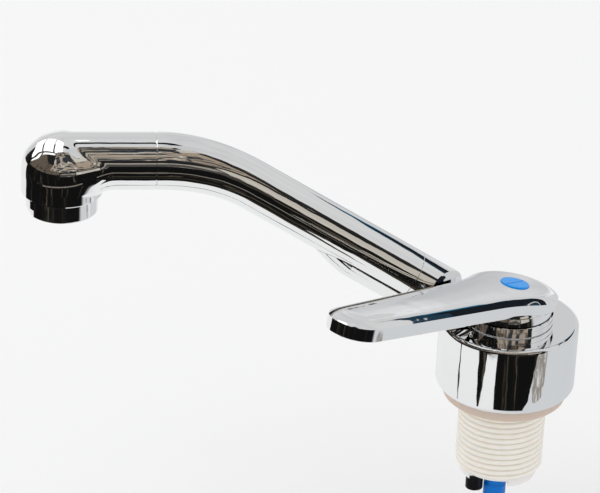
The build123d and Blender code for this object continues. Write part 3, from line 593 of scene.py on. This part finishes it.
def headSkinPoint(lean, turn):
    # where a ray in a half plane hinged at the inner corner leaves the head, found by halving
    size = headSizes
    share = lean / (math.pi / 2)
    reach = (1 - share) * (size["tubeRise"] + size["skirt"]) + share * size["run"]
    near, far = 0.0, headRows["farthest"]
    for halving in range(headRows["halvings"]):
        middle = (near + far) / 2
        out = reach + middle * math.sin(turn)
        y = size["run"] - out * math.sin(lean)
        spot = (middle * math.cos(turn), y, -size["skirt"] + out * math.cos(lean))
        if headDepth(*spot) > 0:
            far = middle
        else:
            near = middle
    return spot


def joiningRows(first, last, axis, middle):
    # rows between two rings on one round bar, even in turn and in length along its axis
    across, along = (2, 1) if axis == "y" else (1, 2)
    rows = headRows["joinRows"]
    found = []
    for row in range(1, rows):
        share = row / rows
        ring = []
        for start, end in zip(first, last):
            startTurn = math.atan2(start[across] - middle, start[0])
            endTurn = math.atan2(end[across] - middle, end[0])
            swing = (endTurn - startTurn + math.pi) % math.tau - math.pi
            turn = startTurn + share * swing
            reach = math.hypot(start[0], start[across] - middle)
            spot = [reach * math.cos(turn), 0.0, 0.0]
            spot[across] = middle + reach * math.sin(turn)
            spot[along] = start[along] + share * (end[along] - start[along])
            ring.append(tuple(spot))
        found.append(ring)
    return found


def makeOutletHead():
    size = headSizes
    run, rise, skirt = size["run"], size["tubeRise"], size["skirt"]
    turns = [math.tau * k / headRows["around"] for k in range(headRows["around"])]

    def seamRing(radius, depth):
        return [(radius * math.cos(t), run - depth, rise + radius * math.sin(t)) for t in turns]

    def rimRing(radius, depth):
        return [(radius * math.cos(t), -radius * math.sin(t), depth - skirt) for t in turns]

    edge, rimEdge = size["edge"], size["rimEdge"]
    seam = [seamRing(0.0, size["socketDepth"]), seamRing(size["socket"], size["socketDepth"]),
            seamRing(size["socket"], 0.0), seamRing(size["tube"] - edge, 0.0), seamRing(size["tube"], edge)]
    skin = []
    for row in range(headRows["rows"] + 1):
        # rows crowd towards the rim, where the skin turns quickly
        eager = math.sin(row / headRows["rows"] * math.pi / 2)
        lean = math.pi / 2 * (headRows["leanStart"] + headRows["leanSpan"] * eager)
        skin.append([headSkinPoint(lean, t) for t in turns])
    rim = [rimRing(size["ball"], rimEdge), rimRing(size["ball"] - rimEdge, 0.0), rimRing(size["bore"], 0.0),
           rimRing(size["bore"], size["boreDepth"]), rimRing(0.0, size["boreDepth"])]
    seamRows = joiningRows(seam[-1], skin[0], "y", rise)
    rimRows = joiningRows(skin[-1], rim[0], "z", 0.0)
    mesh = ringMesh("outlet head", seam + seamRows + skin + rimRows + rim)
    mesh.transform(Matrix.Translation((0, -size["distance"], size["height"])))
    head = placed("outletHead", mesh, headRows["sharpAngle"])
    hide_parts("outlet_head")
    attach(head, "spout")


# lever, in metres in its own frame: along +X from the pivot, z up from the pivot; turns in degrees
leverSizes = {
    "pivot": 0.033, "azimuth": 41.5, "tilt": 12.5, "reach": 0.1005, "head": 0.0170, "headShift": 0.0012,
    "rootHalf": 0.0140, "blend": 0.068, "tipHalf": 0.0106, "tipCorner": 0.0102,
    "rim": 0.0112, "crown": 0.0132, "band": 0.0050, "headBand": 0.0042, "bandStart": 0.0165,
    "bandRun": 0.004, "roll": 0.0052, "rollRise": 0.0017, "rollRound": 2.2,
    "wall": 0.0020, "roof": 0.0100, "lip": 0.0003,
    "capHole": 0.00562, "capDepth": 0.00105, "cutHeight": 0.004,
}
# steps along the stretches of the outline, and the shares at which rings are drawn in to the spine
leverSteps = {
    "end": 4, "corner": 14, "side": 24, "blend": 20, "head": 48, "roll": 12, "capSides": 96,
    "crownShares": (1.0, 0.8, 0.6, 0.4, 0.2), "roofShares": (0.33, 0.66, 1.0), "sharpAngle": 30.0,
}


def arc(centre, radius, first, last, steps):
    # points of an arc, without its last one
    cx, cy = centre
    turns = [first + (last - first) * k / steps for k in range(steps)]
    return [(cx + radius * math.cos(a), cy + radius * math.sin(a)) for a in turns]


def leverOutline(inset):
    # one side of the plan from the tip's middle to the back of the head, mirrored for the other
    size, steps = leverSizes, leverSteps
    run = size["reach"]
    drop = (size["rootHalf"] - size["tipHalf"]) / run
    lean = math.atan(drop)
    corner = size["tipCorner"]
    # the tip corner's centre is one corner radius inside both the end and the side
    tipX = run - corner
    tipY = size["rootHalf"] - drop * tipX - corner / math.cos(lean)
    # the blend circle touches the head outside and the arm's side
    blend = size["blend"]
    shift = size["headShift"]
    lift = size["rootHalf"] + blend / math.cos(lean)
    a = 1 + drop * drop
    b = -2 * (lift * drop + shift)
    c = lift * lift + shift * shift - (size["head"] + blend) ** 2
    blendX = (-b + math.sqrt(b * b - 4 * a * c)) / (2 * a)
    blendY = lift - drop * blendX
    touch = math.atan2(blendY, blendX - shift)
    sideTurn = math.pi / 2 - lean
    points = [(run - inset, tipY * k / steps["end"]) for k in range(steps["end"])]
    points += arc((tipX, tipY), corner - inset, 0.0, sideTurn, steps["corner"])
    startX = tipX + (corner - inset) * math.cos(sideTurn)
    startY = tipY + (corner - inset) * math.sin(sideTurn)
    endX = blendX - (blend + inset) * math.cos(sideTurn)
    endY = blendY - (blend + inset) * math.sin(sideTurn)
    count = steps["side"]
    for k in range(count):
        points.append((startX + (endX - startX) * k / count, startY + (endY - startY) * k / count))
    points += arc((blendX, blendY), blend + inset, sideTurn - math.pi, touch - math.pi, steps["blend"])
    points += arc((shift, 0), size["head"] - inset, touch, math.pi, steps["head"])
    points.append((shift - (size["head"] - inset), 0.0))
    mirrored = [(x, -y) for x, y in points[-2:0:-1]]
    return points + mirrored


def makeLever():
    size, steps = leverSizes, leverSteps
    rim, roof, roll, lip, wall = size["rim"], size["roof"], size["roll"], size["lip"], size["wall"]
    rollTop = rim + size["rollRise"]

    def lowEdge(x):
        # the arm hangs a little lower than the head's rim
        share = min(max((x - size["bandStart"]) / size["bandRun"], 0.0), 1.0)
        return rim - size["headBand"] - share * (size["band"] - size["headBand"])

    def drawnIn(inset, share, height):
        # a level ring drawn in towards the lever's spine
        ring = []
        for x, y in leverOutline(inset):
            spine = min(max(x, 0.0), size["reach"] - size["tipHalf"])
            ring.append((x + (spine - x) * share, y * (1 - share), height))
        return ring

    rings = []
    for share in steps["crownShares"]:
        height = rollTop + (size["crown"] - rollTop) * (1 - (1 - share) ** 2)
        rings.append(drawnIn(roll, share, height))
    for k in range(steps["roll"] + 1):
        inset = roll * (1 - k / steps["roll"])
        height = rim + size["rollRise"] * (1 - (1 - inset / roll) ** size["rollRound"])
        rings.append([(x, y, height) for x, y in leverOutline(inset)])
    rings.append([(x, y, lowEdge(x) + lip) for x, y in leverOutline(0.0)])
    rings.append([(x, y, lowEdge(x)) for x, y in leverOutline(lip)])
    rings.append([(x, y, lowEdge(x)) for x, y in leverOutline(wall)])
    rings.append([(x, y, roof) for x, y in leverOutline(wall)])
    rings += [drawnIn(wall, share, roof) for share in steps["roofShares"]]
    mesh = ringMesh("lever", rings)
    cutCapSeat(mesh)
    place = Matrix.Translation((0, 0, size["pivot"]))
    place @= Matrix.Rotation(math.radians(size["azimuth"] - 90), 4, "Z")
    place @= Matrix.Rotation(-math.radians(size["tilt"]), 4, "Y")
    mesh.transform(place)
    lever = placed("leverCasting", mesh, steps["sharpAngle"])
    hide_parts("lever_handle")
    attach(lever, "lever")


def cutCapSeat(mesh):
    # the seat of the index cap, cut into the lever's crown
    size = leverSizes
    floor = size["crown"] - size["capDepth"]
    middle = Matrix.Translation((size["headShift"], 0, floor + size["cutHeight"] / 2))
    bm = bmesh.new()
    bmesh.ops.create_cone(bm, cap_ends=True, segments=leverSteps["capSides"], radius1=size["capHole"],
                          radius2=size["capHole"], depth=size["cutHeight"], matrix=middle)
    tool = bpy.data.meshes.new("cap seat")
    bm.to_mesh(tool)
    bm.free()
    body = bpy.data.objects.new("lever maker", mesh)
    cutter = bpy.data.objects.new("cap seat", tool)
    scene.collection.objects.link(body)
    scene.collection.objects.link(cutter)
    cut = body.modifiers.new("cut", "BOOLEAN")
    cut.operation = "DIFFERENCE"
    cut.solver = "EXACT"
    cut.object = cutter
    made = body.evaluated_get(bpy.context.evaluated_depsgraph_get())
    result = bmesh.new()
    result.from_mesh(made.to_mesh())
    bpy.data.objects.remove(cutter)
    bpy.data.objects.remove(body)
    result.to_mesh(mesh)
    result.free()


print("stage: pieces")
makeSpoutTube()
makeOutletHead()
makeBase()
makeLever()


# Studio: floor, soft light, camera, and cards and sheets that only reflections see

# one far card is a patch of a sphere round the part; its direction from +X and its height in degrees
cardPlan = {"middle": (0, 0, 0.03), "steps": 24}
cards = {
    "backdrop": {"turn": 0, "rise": 0, "wide": 360, "high": 180, "far": 3.0,
                 "shade": (0.60, 0.60, 0.605), "cloud": (0.68, 0.68, 0.68)},
    "right light": {"turn": 84, "rise": -34, "wide": 40, "high": 62, "far": 2.6,
                    "shade": (0.62, 0.65, 0.69)},
    "room": {"turn": -34, "rise": -40, "wide": 186, "high": 112, "far": 2.4,
             "shade": (0.006, 0.006, 0.006), "streak": (0.10, 0.085, 0.06),
             "fade": (50, 60), "fadeTo": (0.5, 0.5, 0.5)},
    "dim room": {"turn": -41, "rise": 30, "wide": 194, "high": 76, "far": 2.5,
                 "shade": (0.016, 0.015, 0.015), "streak": (0.09, 0.08, 0.065)},
    "brown room": {"turn": -62, "rise": 28, "wide": 94, "high": 38, "far": 2.35,
                   "shade": (0.12, 0.096, 0.075), "swoosh": (0.03, 0.028, 0.026)},
    "shelf": {"turn": -12, "rise": -22, "wide": 96, "high": 3, "far": 2.3,
              "shade": (0.22, 0.20, 0.17), "streak": (0.03, 0.03, 0.03)},
    "far wall": {"turn": 4, "rise": 11, "wide": 34, "high": 14, "far": 2.3,
                 "shade": (0.07, 0.065, 0.06), "swoosh": (0.34, 0.31, 0.27)},
    "ceiling": {"turn": 0, "rise": 45, "wide": 88, "high": 34, "far": 2.2,
                "shade": (0.37, 0.30, 0.23), "swoosh": (0.03, 0.035, 0.04), "streak": (0.62, 0.58, 0.50)},
    "cove": {"turn": -6, "rise": 67, "wide": 120, "high": 10, "far": 2.2,
             "shade": (0.58, 0.55, 0.49), "swoosh": (0.10, 0.10, 0.10)},
    "rail": {"turn": -12, "rise": 76, "wide": 110, "high": 6, "far": 2.2, "shade": (0.018, 0.018, 0.02)},
    "beam": {"turn": -12, "rise": 99, "wide": 120, "high": 7, "far": 2.2, "shade": (0.008, 0.008, 0.009)},
    "pale panel": {"turn": 34, "rise": 15, "wide": 24, "high": 17, "far": 2.15,
                   "shade": (0.52, 0.48, 0.42), "streak": (0.80, 0.77, 0.70)},
}
# flat sheets under the part, by corners in metres: the white table with a dark notch, a slit in it
# and a shade that the lever's side wall sees near its tip
tableSheets = {
    "table sheet": {
        "corners": [(-1.2, 1.2), (-1.2, -2.4), (-0.60, -1.25), (-0.02, -0.18), (0.087, -0.145),
                    (0.089, -0.117), (0.064, -0.068), (0.115, -0.091), (0.136, -0.058), (0.088, -0.036),
                    (0.078, -0.02), (0.080, 0.02), (0.093, 0.031), (0.112, 0.091), (0.16, 0.3), (0.2, 1.2)],
        "height": -0.036, "shade": (0.64, 0.655, 0.675),
        "lit": (0.86, 0.86, 0.86), "litFrom": 0.02, "litTo": -0.06,
    },
    "table slit": {
        "corners": [(0.0125, -0.080), (0.0165, -0.081), (0.0155, -0.098), (0.0185, -0.112),
                    (0.0160, -0.126), (0.0190, -0.150), (0.0100, -0.150), (0.0125, -0.126),
                    (0.0100, -0.112), (0.0135, -0.098)],
        "height": -0.035, "shade": (0.02, 0.02, 0.025),
    },
    "wall shade": {
        "corners": [(0.070, 0.078), (0.084, 0.060), (0.102, 0.060), (0.112, 0.091), (0.122, 0.128),
                    (0.080, 0.126)],
        "height": -0.035, "shade": (0.29, 0.265, 0.24),
        "streak": (0.66, 0.655, 0.645), "veinScale": 34.0, "veinStart": 0.44,
    },
}
# sheets near one spot of the part, by the directions in which it sees their corners, and their far
# distance in metres; bars are the columns left out, of windowSteps in all
windowSteps = 20
outletMiddle = (0.0, -0.19, 0.095)
leverMiddle = (0.033, -0.037, 0.045)
windowSheets = {
    "outlet window": {
        "corners": [(-0.455, -0.819, 0.351), (0.324, 0.022, 0.946), (-0.389, 0.085, 0.918),
                    (-0.851, -0.4625, 0.2425)],
        "from": outletMiddle, "far": 0.55, "bars": (6, 13), "shade": (1.5, 1.5, 1.45),
    },
    "lamp strip": {
        "corners": [(-0.36, -0.86, 0.26), (0.50, 0.15, 0.83), (0.42, 0.14, 0.88), (-0.38, -0.84, 0.34)],
        "from": outletMiddle, "far": 0.55, "bars": (6, 13), "shade": (1.3, 1.3, 1.25),
    },
    "blue screen": {
        "corners": [(-0.30, 0.84, 0.36), (-0.74, 0.50, 0.36), (-0.74, 0.48, 0.53), (-0.30, 0.80, 0.53)],
        "from": leverMiddle, "far": 0.26, "shade": (0.010, 0.013, 0.018),
    },
    "blue edge": {
        "corners": [(-0.74, 0.50, 0.36), (-0.78, 0.44, 0.36), (-0.78, 0.42, 0.53), (-0.74, 0.48, 0.53)],
        "from": leverMiddle, "far": 0.26, "shade": (0.02, 0.16, 0.28),
    },
    "blue line": {
        "corners": [(-0.23, 0.88, 0.40), (-0.80, 0.44, 0.40), (-0.80, 0.44, 0.455), (-0.23, 0.88, 0.455)],
        "from": (0.056, -0.062, 0.055), "far": 0.25, "shade": (0.015, 0.04, 0.065),
    },
    "reflector": {
        "corners": [(-0.99, -0.75, -0.10), (-0.99, 0.62, -0.10), (-0.99, 0.62, 0.32), (-0.99, -0.75, 0.32)],
        "from": leverMiddle, "far": 0.30, "shade": (0.90, 0.90, 0.90),
        "cloud": (0.52, 0.525, 0.54), "cloudScale": 9.0,
    },
    "curtain": {
        "corners": [(0.84, -0.39, 0.40), (0.80, 0.46, 0.40), (0.16, 0.27, 0.95), (0.16, -0.27, 0.95)],
        "from": (0.0, -0.168, 0.095), "far": 0.30, "shade": (0.40, 0.335, 0.265),
        "swoosh": (0.03, 0.035, 0.04), "streak": (0.78, 0.76, 0.70), "veinScale": 11.0, "veinStart": 0.47,
    },
}
# clouds, upright streaks and curved swooshes that break an even glow
glowLook = {
    "cloudScale": 0.7, "cloudDetail": 2.0, "cloudRamp": (0.35, 0.65),
    "veinScale": 1.0, "veinStart": 0.52, "veinDetail": 5.0, "veinRoughness": 0.65,
    "streakVein": {"stretch": (1.0, 1.0, 0.12), "scale": 3.2, "bend": 0.6, "low": 0.04, "high": 0.2},
    "swooshVein": {"stretch": (1.0, 0.5, 1.0), "scale": 2.2, "bend": 1.6, "low": 0.0, "high": 0.06},
}


def emitter(name, card):
    # an even glow, or one broken by clouds, streaks and swooshes, lit or faded to one side
    material = bpy.data.materials.new(name)
    material.use_nodes = True
    tree = Tree(material.node_tree)
    material.node_tree.nodes.clear()
    colour = (*card["shade"], 1)
    # a card's own scales take the place of the usual ones
    look = {**glowLook, **card}
    spot = Wire(tree, tree.add("ShaderNodeTexCoord", output=None).outputs["Object"])
    x, y = tree.parts(spot)[:2]
    if "cloud" in card:
        soft = {"Vector": spot, "Scale": look["cloudScale"], "Detail": look["cloudDetail"]}
        cloud = tree.add("ShaderNodeTexNoise", None, soft).ramp(*look["cloudRamp"])
        colour = tree.mixColour(cloud, colour, (*card["cloud"], 1))
    if "lit" in card:
        colour = tree.mixColour(y.ramp(card["litTo"], card["litFrom"]), (*card["lit"], 1), colour)
    for kind in ("streak", "swoosh"):
        if kind in card:
            vein = look[kind + "Vein"]
            bent = tree.add("ShaderNodeMapping", None, {"Vector": spot, "Scale": vein["stretch"]})
            values = {"Vector": bent, "Scale": vein["scale"] * look["veinScale"], "Distortion": vein["bend"],
                      "Detail": look["veinDetail"], "Roughness": look["veinRoughness"]}
            noise = tree.add("ShaderNodeTexNoise", None, values)
            veins = noise.ramp(look["veinStart"] + vein["low"], look["veinStart"] + vein["high"])
            colour = tree.mixColour(veins, colour, (*card[kind], 1))
    if "fade" in card:
        first, last = card["fade"]
        fade = y.maths("ARCTAN2", x).ramp(math.radians(first), math.radians(last))
        colour = tree.mixColour(fade, colour, (*card["fadeTo"], 1))
    glow = tree.add("ShaderNodeEmission", None, {"Color": colour, "Strength": 1.0})
    tree.add("ShaderNodeOutputMaterial", None, {"Surface": glow}, None)
    return material


def showOnlyInChrome(name, mesh, card):
    mesh.materials.append(emitter(name, card))
    sheet = bpy.data.objects.new(name, mesh)
    scene.collection.objects.link(sheet)
    sheet.visible_camera = False
    sheet.visible_diffuse = False
    sheet.visible_shadow = False
    sheet.visible_transmission = False


def gridMesh(name, rows, leftOut=()):
    # rows of points joined into a sheet, with some columns left out
    bm = bmesh.new()
    grid = [[bm.verts.new(point) for point in row] for row in rows]
    for low, high in zip(grid, grid[1:]):
        for i in range(len(low) - 1):
            if i not in leftOut:
                bm.faces.new((low[i], low[i + 1], high[i + 1], high[i]))
    mesh = bpy.data.meshes.new(name)
    bm.to_mesh(mesh)
    bm.free()
    return mesh


def makeCard(name, card):
    steps = cardPlan["steps"]
    middle = Vector(cardPlan["middle"])
    rows = []
    for j in range(steps + 1):
        rise = math.radians(card["rise"] + card["high"] * (j / steps - 0.5))
        flat = card["far"] * math.cos(rise)
        row = []
        for i in range(steps + 1):
            turn = math.radians(card["turn"] + card["wide"] * (i / steps - 0.5))
            spot = Vector((flat * math.cos(turn), flat * math.sin(turn), card["far"] * math.sin(rise)))
            row.append(middle + spot)
        rows.append(row)
    showOnlyInChrome(name, gridMesh(name, rows), card)


def makeTable(name, sheet):
    corners = [(x, y, sheet["height"]) for x, y in sheet["corners"]]
    mesh = bpy.data.meshes.new(name)
    mesh.from_pydata(corners, [], [tuple(range(len(corners)))])
    showOnlyInChrome(name, mesh, sheet)


def makeWindow(name, sheet):
    # a sheet between four directions seen from one spot, with dark bars left open
    steps = windowSteps
    corner = [Vector(sheet["from"]) + Vector(direction) * sheet["far"] for direction in sheet["corners"]]
    rows = []
    for j in range(steps + 1):
        left = corner[0].lerp(corner[3], j / steps)
        right = corner[1].lerp(corner[2], j / steps)
        rows.append([left.lerp(right, i / steps) for i in range(steps + 1)])
    showOnlyInChrome(name, gridMesh(name, rows, sheet.get("bars", ())), sheet)


floorLook = {
    "drop": 0.0004, "size": 12.0, "colour": (0.90, 0.90, 0.905, 1), "speckle": (0.86, 0.86, 0.865, 1),
    "speckleScale": 40.0, "speckles": (0.3, 0.8), "speckleShare": 0.04, "rough": 0.9, "gloss": 0.1,
}


def makeFloor():
    look = floorLook
    mesh = bpy.data.meshes.new("floor")
    half = look["size"] / 2
    height = cadLow.z - look["drop"]
    corners = [(-half, -half, height), (half, -half, height), (half, half, height), (-half, half, height)]
    mesh.from_pydata(corners, [], [(0, 1, 2, 3)])
    finish = Finish("pale floor")
    speckle = finish.noise(look["speckleScale"]).ramp(*look["speckles"])
    colour = finish.mixColour(speckle * look["speckleShare"], look["colour"], look["speckle"])
    mesh.materials.append(finish.set(colour=colour, rough=look["rough"], gloss=look["gloss"]))
    floor = bpy.data.objects.new("floor", mesh)
    scene.collection.objects.link(floor)
    floor.visible_glossy = False


sky = {"colour": (1.0, 1.0, 1.0, 1), "strength": 0.96}
keyLamp = {"place": (0.6, -1.2, 1.6), "target": (0, -0.05, 0.02), "size": 0.9, "power": 4.0}


def makeSky():
    world = bpy.data.worlds.new("soft light")
    scene.world = world
    world.use_nodes = True
    background = world.node_tree.nodes["Background"]
    background.inputs["Color"].default_value = sky["colour"]
    background.inputs["Strength"].default_value = sky["strength"]


def makeLamp(name, look):
    lamp = bpy.data.lights.new(name, "AREA")
    lamp.size = look["size"]
    lamp.energy = look["power"]
    obj = bpy.data.objects.new(name, lamp)
    obj.location = look["place"]
    obj.rotation_mode = "QUATERNION"
    obj.rotation_quaternion = (Vector(look["target"]) - Vector(look["place"])).to_track_quat("-Z", "Y")
    scene.collection.objects.link(obj)
    obj.visible_glossy = False


# the photo's camera, in metres and degrees before the turn about the swivel axis; lens in millimetres
photoCamera = {
    "place": (-0.07986, -1.15484, 0.662374), "pitch": 27.61994, "roll": -2.685287, "turn": 84.0,
    "lens": 210.0, "sensor": 36.0, "nearest": 0.05, "farthest": 50.0,
}


def makeCamera():
    look = photoCamera
    pitch = math.radians(look["pitch"])
    roll = math.radians(look["roll"])
    turn = Matrix.Rotation(math.radians(look["turn"]), 3, "Z")
    forward = Vector((0, math.cos(pitch), -math.sin(pitch)))
    right = Vector((1, 0, 0))
    down = Vector((0, -math.sin(pitch), -math.cos(pitch)))
    rolledRight = right * math.cos(roll) + down * math.sin(roll)
    rolledDown = down * math.cos(roll) - right * math.sin(roll)
    axes = Matrix((turn @ rolledRight, turn @ -rolledDown, turn @ -forward)).transposed()
    camera = bpy.data.cameras.new("camera")
    camera.lens = look["lens"]
    camera.sensor_width = look["sensor"]
    camera.clip_start = look["nearest"]
    camera.clip_end = look["farthest"]
    obj = bpy.data.objects.new("camera", camera)
    obj.matrix_world = Matrix.Translation(turn @ Vector(look["place"])) @ axes.to_4x4()
    scene.collection.objects.link(obj)
    scene.camera = obj


print("stage: studio")
makeFloor()
makeSky()
for kinds, makeSheet in ((cards, makeCard), (tableSheets, makeTable), (windowSheets, makeWindow)):
    for sheetName, plan in kinds.items():
        makeSheet(sheetName, plan)
makeLamp("key", keyLamp)
makeCamera()
scene.view_settings.view_transform = "Standard"
